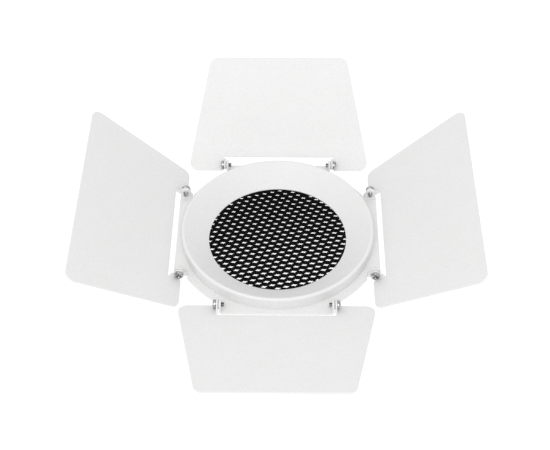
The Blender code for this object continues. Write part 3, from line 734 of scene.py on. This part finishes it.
def offset_path(points, distance):
    """The path moved sideways, with mitred corners."""
    moved = []
    for i, point in enumerate(points):
        before = Vector(point) - Vector(points[max(i - 1, 0)])
        after = Vector(points[min(i + 1, len(points) - 1)]) - Vector(point)
        if before.length == 0:
            before = after
        if after.length == 0:
            after = before
        before, after = before.normalized(), after.normalized()
        across = Vector((-before.y - after.y, before.x + after.x)).normalized()
        stretch = max(MITRE_LIMIT, across.dot(Vector((-before.y, before.x))))
        moved.append(tuple(Vector(point) + across * distance / stretch))
    return moved


def hoop_mesh():
    band_in = CORE_HIGH.x + GAP
    band_out = band_in + FRAME_BAND
    profile = rounded(
        edged(
            [
                (band_out, HOOP_HIGH.z),
                (band_out, HOOP_LOW.z + FRAME_FOOT_THICKNESS),
                (HOOP_HIGH.x, HOOP_LOW.z + FRAME_FOOT_THICKNESS),
                (HOOP_HIGH.x, HOOP_LOW.z),
                (band_in - FRAME_LIP, HOOP_LOW.z),
                (band_in - FRAME_LIP, HOOP_LOW.z + FRAME_LIP_THICKNESS),
                (band_in, HOOP_LOW.z + FRAME_LIP_THICKNESS),
                (band_in, HOOP_HIGH.z),
            ],
            FRAME_EDGE,
        )
    )
    return turned(profile, RING_STEPS)


def wire_mesh():
    """A split ring of round wire with rounded ends."""
    low, high = node_box("retaining_ring")
    centre_z = (low.z + high.z) / 2
    radius = -low.x - RETAINER_WIRE
    start, end = RETAINER_OPENING / 2, math.tau - RETAINER_OPENING / 2
    cap = RETAINER_WIRE / radius
    stations = []
    for i in range(WIRE_END_STEPS + 1):
        lean = math.pi / 2 * i / WIRE_END_STEPS
        stations.append((start + cap * (1 - math.cos(lean)), math.sin(lean)))
    turns = RING_STEPS // 2
    middle = [(start + cap + (end - start - 2 * cap) * i / turns, 1.0) for i in range(1, turns)]
    stations += middle + [(math.tau - turn, share) for turn, share in reversed(stations)]
    shape = bmesh.new()
    rings = []
    for turn, share in stations:
        ring = []
        for x, y in circle(max(share, RETAINER_END_SHARE) * RETAINER_WIRE, WIRE_STEPS):
            out = radius + x
            ring.append(shape.verts.new((out * math.cos(turn), out * math.sin(turn), centre_z + y)))
        rings.append(ring)
    for one, other in zip(rings, rings[1:]):
        for i in range(WIRE_STEPS):
            on = (i + 1) % WIRE_STEPS
            shape.faces.new((one[i], one[on], other[on], other[i]))
    shape.faces.new(rings[0])
    shape.faces.new(rings[-1])
    return finish_mesh(shape, "wire")


def spring_mesh():
    """A strip round the collar from angle 0: flat under its rivet, then bowed out."""
    low, high = SPRING_LOW.z, SPRING_HIGH.z
    corners = [(0, low), (SPRING_LENGTH, low), (SPRING_LENGTH, high), (0, high)]
    hole = circle(RIVET_RADIUS, SCREW_STEPS, (SPRING_FLAT / 2, RIVET_Z))
    half = SPRING_THICKNESS / 2
    blank = prism([rounded(edged(corners, SPRING_CORNER)), hole], -half, half)
    shape = bmesh.new()
    shape.from_mesh(blank)
    for step in range(1, SPRING_STEPS):
        bmesh.ops.bisect_plane(
            shape,
            geom=[*shape.verts, *shape.edges, *shape.faces],
            dist=NEAR,
            plane_co=(SPRING_LENGTH * step / SPRING_STEPS, 0, 0),
            plane_no=(1, 0, 0),
        )
    for vertex in shape.verts:
        along, height, out = vertex.co
        share = max(0, (along - SPRING_FLAT) / (SPRING_LENGTH - SPRING_FLAT))
        radius = SPRING_CIRCLE + out + SPRING_BULGE * (1 - math.cos(math.tau * share)) / 2
        turn = along / SPRING_CIRCLE
        vertex.co = (radius * math.cos(turn), radius * math.sin(turn), height)
    return finish_mesh(shape, "spring")


def crown(radius, height):
    """Profile of a domed head from its top on the axis down to its side."""
    foot = height * CROWN_SIDE_SHARE
    points = [(0, height)]
    for i in range(1, CROWN_STEPS + 1):
        turn = math.pi / 2 * (1 - i / CROWN_STEPS)
        out = math.cos(turn) ** CROWN_SQUARENESS
        up = math.sin(turn) ** CROWN_SQUARENESS
        points.append((radius * out, foot + (height - foot) * up))
    return points


def rivet_mesh():
    """A rivet along +X at the spring's angle: domed outside the spring, flush in the collar."""
    start = COLLAR_IN + RIVET_TAIL_GAP
    length = SPRING_CIRCLE + SPRING_THICKNESS / 2 + RIVET_TAIL_GAP - start
    dome = [(r, length + z) for r, z in crown(RIVET_HEAD_RADIUS, RIVET_HEAD_HEIGHT - RIVET_TAIL_GAP)]
    shank = [(RIVET_HEAD_RADIUS, length), (RIVET_RADIUS, length), (RIVET_RADIUS, TURNED_EDGE), (0, 0)]
    mesh = turned([*dome, *shank], SCREW_STEPS)
    mesh.transform(Matrix.Translation((start, 0, RIVET_Z)) @ Matrix.Rotation(math.pi / 2, 4, "Y"))
    return mesh


def thread(turn, radius, z):
    """Radius of a rolled thread below the head, with a run-out at the head; the chamfer at the tip is in the
    screw's profile.
    """
    if z > -THREAD_PITCH / 2:
        return radius
    share = (z / THREAD_PITCH + turn / math.tau) % 1
    groove = 1 - abs(2 * share - 1)
    return radius - THREAD_DEPTH * groove


def screw_mesh(length):
    """A cross-recess pan-head screw along Z: z = 0 is the underside of its head."""
    rows = math.ceil(length / THREAD_PITCH * ROWS_PER_THREAD)
    under = [(HEAD_RADIUS, HEAD_CHAMFER), (HEAD_RADIUS - HEAD_CHAMFER, 0), (SCREW_RADIUS, 0)]
    shank = [(SCREW_RADIUS, -length * i / rows) for i in range(1, rows)]
    tip = [(SCREW_RADIUS - THREAD_DEPTH, -length), (0, -length)]
    profile = [*crown(HEAD_RADIUS, HEAD_HEIGHT), *under, *shank, *tip]
    body = turned(profile, SCREW_STEPS, phase=lambda t, r, z: thread(t, r, z) if z > -length else r)
    return boolean(body, recess_mesh(), "DIFFERENCE")


def recess_mesh():
    """The tapered cross that the driver fits."""
    arm, half = RECESS_ARM, RECESS_HALF_WIDTH
    root = half * RECESS_ROOT_FLARE
    outline = []
    for x, y in ((1, 0), (0, 1), (-1, 0), (0, -1)):
        outline.append((x * arm + y * half, y * arm - x * half))
        outline.append((x * arm - y * half, y * arm + x * half))
        outline.append(((x - y) * root, (x + y) * root))
    levels = ((HEAD_HEIGHT + GAP, RECESS_MOUTH), (HEAD_HEIGHT - RECESS_DEPTH, RECESS_BOTTOM))
    shape = bmesh.new()
    rings = [[shape.verts.new((x * share, y * share, z)) for x, y in outline] for z, share in levels]
    for i in range(len(outline)):
        on = (i + 1) % len(outline)
        shape.faces.new((rings[0][i], rings[0][on], rings[1][on], rings[1][i]))
    for ring in rings:
        shape.faces.new(ring)
    return finish_mesh(shape, "recess")


def washer_mesh():
    """A slightly wavy nylon friction washer about Z, centred on its thickness."""
    thickness = (WASHER_HIGH - WASHER_LOW).x
    outer = (WASHER_HIGH - WASHER_LOW).y / 2
    inner = SCREW_RADIUS + SCREW_CLEARANCE
    half = thickness / 2
    corners = [(outer, half), (outer, -half), (inner, -half), (inner, half)]
    mesh = turned(rounded(edged(corners, thickness / 4)), 2 * SCREW_STEPS)
    for vertex in mesh.vertices:
        turn = math.atan2(vertex.co.y, vertex.co.x)
        vertex.co.z += WASHER_WAVE * math.cos(WASHER_WAVES * turn)
    return mesh


# Materials


class Nodes:
    """A short way to build a node tree: each call adds a node, sets its inputs and links it."""

    def __init__(self, name):
        self.material = bpy.data.materials.new(name)
        self.material.use_nodes = True
        self.tree = self.material.node_tree
        self.shader = self.tree.nodes["Principled BSDF"]
        self.place = self.add("ShaderNodeTexCoord").outputs["Object"]

    def add(self, kind, values=None, **settings):
        node = self.tree.nodes.new(kind)
        for name, value in settings.items():
            setattr(node, name, value)
        for name, value in (values or {}).items():
            self.set(node, name, value)
        return node

    def set(self, node, name, value):
        if isinstance(value, bpy.types.NodeSocket):
            self.tree.links.new(value, node.inputs[name])
        else:
            node.inputs[name].default_value = value

    def noise(self, scale, detail=2.0, stretch=None):
        """A noise whose features are about 1 / scale metres wide, as a value round 0.5."""
        place = self.place
        if stretch:
            place = self.add("ShaderNodeMapping", {"Vector": place, "Scale": stretch}).outputs["Vector"]
        node = self.add("ShaderNodeTexNoise", {"Vector": place, "Scale": scale, "Detail": detail})
        return node.outputs["Fac"]

    def spread(self, value, low, high, from_low=MIDDLE_LOW, from_high=MIDDLE_HIGH):
        """The value's middle range spread from low to high."""
        node = self.add(
            "ShaderNodeMapRange",
            {"Value": value, "From Min": from_low, "From Max": from_high, "To Min": low, "To Max": high},
        )
        return node.outputs["Result"]

    def tint(self, value, colours):
        """A ramp of colours, given as (place, (r, g, b))."""
        node = self.add("ShaderNodeValToRGB", {"Fac": value})
        ramp = node.color_ramp.elements
        while len(ramp) < len(colours):
            ramp.new(0.5)
        for element, (place, colour) in zip(ramp, colours):
            element.position = place
            element.color = (*colour, 1)
        return node.outputs["Color"]

    def between(self, value, first, second):
        """A ramp from one colour to another over the value's middle range."""
        return self.tint(value, [(MIDDLE_LOW, first), (MIDDLE_HIGH, second)])

    def multiplied(self, first, second):
        node = self.add("ShaderNodeMix", {"Factor": 1.0}, data_type="RGBA", blend_type="MULTIPLY")
        colours = [socket for socket in node.inputs if socket.type == "RGBA"]
        for socket, colour in zip(colours, (first, second)):
            self.tree.links.new(colour, socket)
        return next(socket for socket in node.outputs if socket.type == "RGBA")

    def bumps(self, layers):
        """Bump nodes in a row: (height value, distance in metres)."""
        normal = None
        for height, distance in layers:
            values = {"Height": height, "Distance": distance, "Strength": 1.0}
            if normal:
                values["Normal"] = normal
            normal = self.add("ShaderNodeBump", values).outputs["Normal"]
        return normal

    def finish(self, **inputs):
        for name, value in inputs.items():
            self.set(self.shader, name.replace("_", " ").title().replace("Ior", "IOR"), value)
        return self.material


def powder_coat(name, tone):
    """White polyester powder on steel: a fine pebbled skin with a soft sheen, its colour darker in the
    hollows of the grain's bump and lighter on its peaks, as painted shade and painted highlight.
    """
    nodes = Nodes(name)
    grain = nodes.noise(COAT_GRAIN, 2)
    peel = nodes.noise(COAT_PEEL, 1)
    patch = nodes.noise(COAT_PATCHES, 3)
    # The grain's colour follows its bump: painted shade in the hollows, painted highlight on the peaks
    grain_shade_and_highlight = nodes.spread(grain, 0.0, 1.0, 0.28, 0.72)
    places = ((0.0, COAT_HOLLOW_SHADE), (0.45, COAT_SKIN), (1.0, COAT_PEAK_HIGHLIGHT))
    colour = nodes.tint(grain_shade_and_highlight, [(place, tuple(tone * c for c in shade)) for place, shade in places])
    cloud = nodes.between(patch, COAT_DULL, PURE_WHITE)
    blend = nodes.multiplied(colour, cloud)
    rough = nodes.spread(nodes.noise(COAT_SHEEN, 2), 0.42, 0.58)
    normal = nodes.bumps([(peel, COAT_BUMP), (grain, COAT_BUMP)])
    return nodes.finish(base_color=blend, roughness=rough, normal=normal, specular_ior_level=0.45)


def black_foil():
    """Black anodised aluminium foil with rolling marks."""
    nodes = Nodes("black_anodised_foil")
    streaks = nodes.noise(FOIL_STREAKS, 3, (1, 1, 0.08))
    colour = nodes.between(streaks, FOIL_DARK, FOIL_LIGHT)
    rough = nodes.spread(nodes.noise(FOIL_SHEEN, 2), 0.55, 0.75)
    normal = nodes.bumps([(streaks, FOIL_BUMP)])
    return nodes.finish(base_color=colour, roughness=rough, normal=normal, specular_ior_level=0.05)


def metal(name, dark, light, rough_low, rough_high, stretch):
    """Plated or bare steel with fine tool marks, its colour in clouds between dark and light; on the zinc
    these clouds are painted reflection and painted highlight.
    """
    nodes = Nodes(name)
    marks = nodes.noise(METAL_MARKS, 3, stretch)
    cloud = nodes.noise(METAL_CLOUDS, 3)
    # Colour in clouds from dark to light: on the zinc, these are a dark painted reflection and a bright
    # painted highlight
    colour = nodes.between(cloud, dark, light)
    rough = nodes.spread(marks, rough_low, rough_high)
    normal = nodes.bumps([(marks, METAL_BUMP), (cloud, METAL_BUMP)])
    return nodes.finish(base_color=colour, roughness=rough, normal=normal, metallic=1.0)


def nylon():
    """Natural nylon: a warm off-white, slightly waxy plastic with moulding grain."""
    nodes = Nodes("natural_nylon")
    cloud = nodes.noise(NYLON_CLOUDS, 3)
    colour = nodes.between(cloud, NYLON_DARK, NYLON_LIGHT)
    rough = nodes.spread(nodes.noise(NYLON_SHEEN, 2), 0.4, 0.6)
    normal = nodes.bumps([(cloud, NYLON_BUMP)])
    return nodes.finish(base_color=colour, roughness=rough, normal=normal, specular_ior_level=0.4)


WHITE = powder_coat("white_powder_coat", COAT_TONE)
COLLAR_WHITE = powder_coat("white_powder_coat_collar", COLLAR_COAT_TONE)
NYLON = nylon()
FOIL_BLACK = black_foil()
ZINC = metal("zinc_plated_steel", ZINC_PAINTED_REFLECTION_DARK, ZINC_PAINTED_HIGHLIGHT, 0.14, 0.26, (1, 1, 0.2))
SPRING_STEEL = metal("spring_steel", SPRING_DARK, SPRING_LIGHT, 0.28, 0.45, (0.2, 1, 1))


# The object


def make_base():
    add_piece("front_ring_dish", ring_mesh(), WHITE, "base", "front_ring")
    add_piece("base_plate_sheet", plate_mesh(), WHITE, "base", "base_plate")
    add_piece("collar_tube", collar_mesh(), COLLAR_WHITE, "base", "mounting_collar")
    add_piece("louvre_ribbons", core_mesh(), FOIL_BLACK, "base", "honeycomb_core")
    add_piece("louvre_hoop", hoop_mesh(), FOIL_BLACK, "base", "honeycomb_frame")
    add_piece("louvre_circlip", wire_mesh(), SPRING_STEEL, "base", "retaining_ring")
    spring, rivet = spring_mesh(), rivet_mesh()
    for i in range(SPRING_COUNT):
        spread = math.tau * i / SPRING_COUNT
        number = i + 1
        place = Matrix.Rotation(SPRING_START + spread, 4, "Z")
        node = f"grip_spring_{number}"
        add_piece(f"leaf_spring_{number}", spring.copy(), SPRING_STEEL, "base", node, place)
        place = Matrix.Rotation(RIVET_START + spread, 4, "Z")
        node = f"spring_rivet_{number}"
        add_piece(f"domed_rivet_{number}", rivet.copy(), ZINC, "base", node, place)


def make_leaves():
    shapes = {kind: leaf_mesh(kind) for kind in ("narrow", "wide")}
    for side, kind in LEAVES.items():
        leaf = f"leaf_{side}"
        sheet = shapes[kind].copy()
        sheet.transform(leaf_matrix(side))
        add_piece(f"{leaf}_sheet", sheet, WHITE, leaf, leaf)


def nodes_named(start):
    return [name for name in sorted(NODES) if name.startswith(start)]


def axis_place(node, outward):
    """Where a screw or washer sits: the frame whose z runs outward along its axis, at its outer end."""
    low, high = node_box(node)
    centre = (low + high) / 2
    reach = abs((high - low).dot(outward)) / 2
    return Matrix.Translation(centre + outward * reach) @ outward.to_track_quat("Z", "X").to_matrix().to_4x4()


def make_assembly_screws():
    for name in nodes_named("assembly_screw_"):
        low, high = node_box(name)
        mesh = screw_mesh(high.z - low.z - HEAD_HEIGHT)
        place = axis_place(name, Vector((0, 0, -1))) @ TO_HEAD
        add_piece(f"{name}_zinc", mesh, ZINC, "base", name, place)


def make_hinge_fasteners():
    """Each hinge's two screws and two washers, whose outer ends face away from the leaf's middle."""
    screw = screw_mesh((SCREW_HIGH - SCREW_LOW).x - HEAD_HEIGHT)
    washer = washer_mesh()
    to_middle = Matrix.Translation((0, 0, -(WASHER_HIGH - WASHER_LOW).x / 2))
    for name in nodes_named("hinge_"):
        side = name.split("_")[2]
        along = Vector(JOINTS[f"leaf_{side}_hinge"]["axis"])
        low, high = node_box(name)
        outward = along if (low + high).dot(along) > 0 else -along
        place = axis_place(name, outward)
        if name.startswith("hinge_screw_"):
            add_piece(f"{name}_zinc", screw.copy(), ZINC, "base", name, place @ TO_HEAD)
        else:
            add_piece(f"{name}_wave", washer.copy(), NYLON, "base", name, place @ to_middle)


# The studio


def make_floor():
    shape = bmesh.new()
    bmesh.ops.create_grid(shape, x_segments=1, y_segments=1, size=FLOOR_HALF)
    floor = bpy.data.objects.new("studio_floor", finish_mesh(shape, "studio_floor"))
    floor.location.z = -FLOOR_DROP
    bpy.context.scene.collection.objects.link(floor)
    nodes = Nodes("pale_floor")
    paper = nodes.between(nodes.noise(PAPER_GRAIN, 2), PAPER_DARK, PAPER_LIGHT)
    nodes.finish(base_color=paper, roughness=0.9, specular_ior_level=0.2)
    nodes.set(nodes.shader, "Emission Color", (*PURE_WHITE, 1))
    nodes.set(nodes.shader, "Emission Strength", FLOOR_GLOW)
    floor.data.materials.append(nodes.material)


def make_softbox(name, place, aim, size, power):
    light = bpy.data.lights.new(name, "AREA")
    light.shape = "RECTANGLE"
    light.size, light.size_y = size
    light.energy = power
    box = bpy.data.objects.new(name, light)
    bpy.context.scene.collection.objects.link(box)
    box.location = place
    box.rotation_euler = (Vector(aim) - Vector(place)).to_track_quat("-Z", "Y").to_euler()


def make_world():
    world = bpy.data.worlds.new("studio_air")
    bpy.context.scene.world = world
    world.use_nodes = True
    background = world.node_tree.nodes["Background"]
    background.inputs["Color"].default_value = (*PURE_WHITE, 1)
    background.inputs["Strength"].default_value = AIR


def make_camera():
    back = Vector(
        (
            math.sin(CAMERA_AZIMUTH) * math.cos(CAMERA_ELEVATION),
            -math.cos(CAMERA_AZIMUTH) * math.cos(CAMERA_ELEVATION),
            math.sin(CAMERA_ELEVATION),
        )
    )
    right = Vector((math.cos(CAMERA_AZIMUTH), math.sin(CAMERA_AZIMUTH), 0))
    up = back.cross(right)
    turned_right = right * math.cos(CAMERA_ROLL) + up * math.sin(CAMERA_ROLL)
    turned_up = up * math.cos(CAMERA_ROLL) - right * math.sin(CAMERA_ROLL)
    data = bpy.data.cameras.new("camera")
    data.lens = CAMERA_LENS
    data.sensor_width = CAMERA_SENSOR
    camera = bpy.data.objects.new("camera", data)
    bpy.context.scene.collection.objects.link(camera)
    axes = Matrix((turned_right, turned_up, back)).transposed().to_4x4()
    camera.matrix_world = Matrix.Translation(Vector(CAMERA_TARGET) + back * CAMERA_DISTANCE) @ axes
    bpy.context.scene.camera = camera


make_camera()
make_world()
make_floor()
make_softbox("key_softbox", KEY_PLACE, (0, 0, PIN_Z), KEY_SIZE, KEY_POWER)
make_base()
make_leaves()
make_assembly_screws()
make_hinge_fasteners()
bpy.context.scene.view_settings.view_transform = "Standard"
